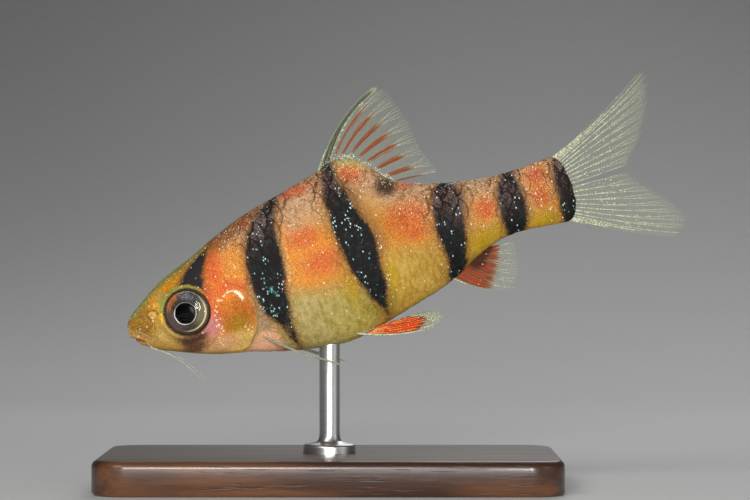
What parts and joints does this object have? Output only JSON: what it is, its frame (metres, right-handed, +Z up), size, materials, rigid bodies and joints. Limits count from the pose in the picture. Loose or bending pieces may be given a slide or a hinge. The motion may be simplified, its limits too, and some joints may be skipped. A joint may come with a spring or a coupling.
{
  "type": "five-banded barb display model",
  "caption": "Life-size five-banded barb, a small striped aquarium fish, held nose down in a swimming pose on a plain base and rod.",
  "frame": {"origin": "centre of the underside of the stand's base", "axes": "+Z up; the fish's snout points to -X and its tail to +X, 17 degrees up; its left flank faces -Y"},
  "size_m": [0.051, 0.024, 0.0365],
  "materials": {
    "skin": "satin, wet-looking fish skin, salmon orange with dark bars",
    "gill_cover": "satin, translucent pink and gold",
    "eye": "glossy, black pupil in a silver and dark iris",
    "barbel": "satin, pale and slightly clear",
    "dorsal_fin": "satin, clear web with dark and red rays",
    "anal_fin": "satin, clear web with red at the base",
    "caudal_fin": "satin, clear web with pale rays",
    "pelvic_fin": "satin, orange red with clear tips",
    "pectoral_fin": "satin, clear web with pale rays",
    "stand_base": "satin varnished dark wood",
    "stand_rod": "brushed"
  },
  "bodies": {
    "root": {"anal_fin": "anal_fin", "barbel_left": "barbel", "barbel_right": "barbel", "caudal_fin_lower": "caudal_fin", "caudal_fin_upper": "caudal_fin", "dorsal_fin": "dorsal_fin", "eye_left": "eye", "eye_right": "eye", "gill_cover_left": "gill_cover", "gill_cover_right": "gill_cover", "head": "skin", "pectoral_fin_left": "pectoral_fin", "pectoral_fin_right": "pectoral_fin", "pelvic_fin_left": "pelvic_fin", "pelvic_fin_right": "pelvic_fin", "snout_barbel_left": "barbel", "snout_barbel_right": "barbel", "stand_base": "stand_base", "stand_rod": "stand_rod", "tail_stem": "skin", "torso": "skin"}
  },
  "joints": []
}
